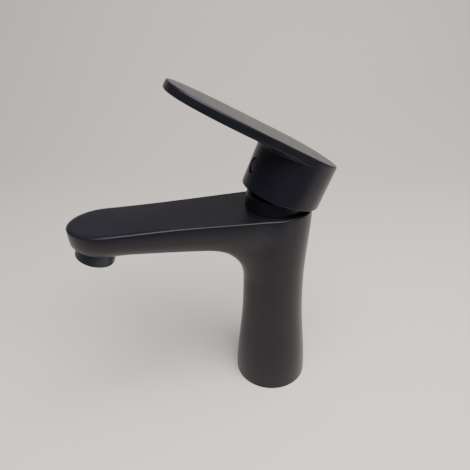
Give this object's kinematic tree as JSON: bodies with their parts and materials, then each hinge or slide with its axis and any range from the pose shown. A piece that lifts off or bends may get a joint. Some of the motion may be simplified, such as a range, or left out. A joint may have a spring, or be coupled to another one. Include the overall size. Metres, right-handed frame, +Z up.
{
  "type": "basin mixer faucet",
  "caption": "Single-lever deck-mounted bathroom basin mixer with a flared column, straight flat-topped spout, tilting hub with an oval paddle lever, and angled aerator.",
  "frame": {"origin": "centre of the round foot's underside, on the deck that the faucet stands on", "axes": "+Z up along the column's axis, spout towards -Y, the user's right-hand side towards +X"},
  "size_m": [0.0524, 0.1604, 0.216],
  "materials": {
    "satin_black": "satin black coating on cast metal",
    "aerator_black": "satin black with a blue cast",
    "gloss_navy": "glossy near-black blue",
    "black_rubber": "matte",
    "white_plastic": "moulded acetal",
    "steel": "turned stainless",
    "brass": "machined",
    "ceramic": "lapped"
  },
  "bodies": {
    "faucet": {"faucet_body": "satin_black", "base_gasket": "black_rubber", "aerator_ring": "aerator_black", "aerator_insert": "white_plastic", "aerator_screen": "steel", "aerator_washer": "black_rubber", "cartridge_base": "white_plastic", "cartridge_o_ring": "black_rubber", "hot_port_seal": "black_rubber", "cold_port_seal": "black_rubber", "outlet_port_seal": "black_rubber", "fixed_disc": "ceramic", "cartridge_housing": "white_plastic", "cartridge_nut": "brass", "collar": "satin_black"},
    "turret": {"stem_guide": "white_plastic", "stem_pin": "steel"},
    "disc": {"moving_disc": "ceramic", "disc_carrier": "white_plastic"},
    "lever": {"handle": "satin_black", "lever_stem": "brass", "index_plug": "gloss_navy", "set_screw": "steel"}
  },
  "joints": [
    {"name": "lever_swivel", "type": "hinge", "parent": "faucet", "child": "turret", "pos_m": [0, 0, 0.1378], "axis": [0, 0, 1], "range_deg": [-51, 39]},
    {"name": "lever_lift", "type": "hinge", "parent": "turret", "child": "lever", "pos_m": [0, 0, 0.1378], "axis": [-0.9945, -0.1045, 0], "range_deg": [-23, 0]},
    {"name": "disc_slide", "type": "slide", "parent": "turret", "child": "disc", "axis": [-0.1045, 0.9945, 0], "range_m": [0, 0.0036]}
  ],
  "couplings": [
    {"joint": "disc_slide", "follows": "lever_lift", "m_per_rad": -0.00876}
  ]
}
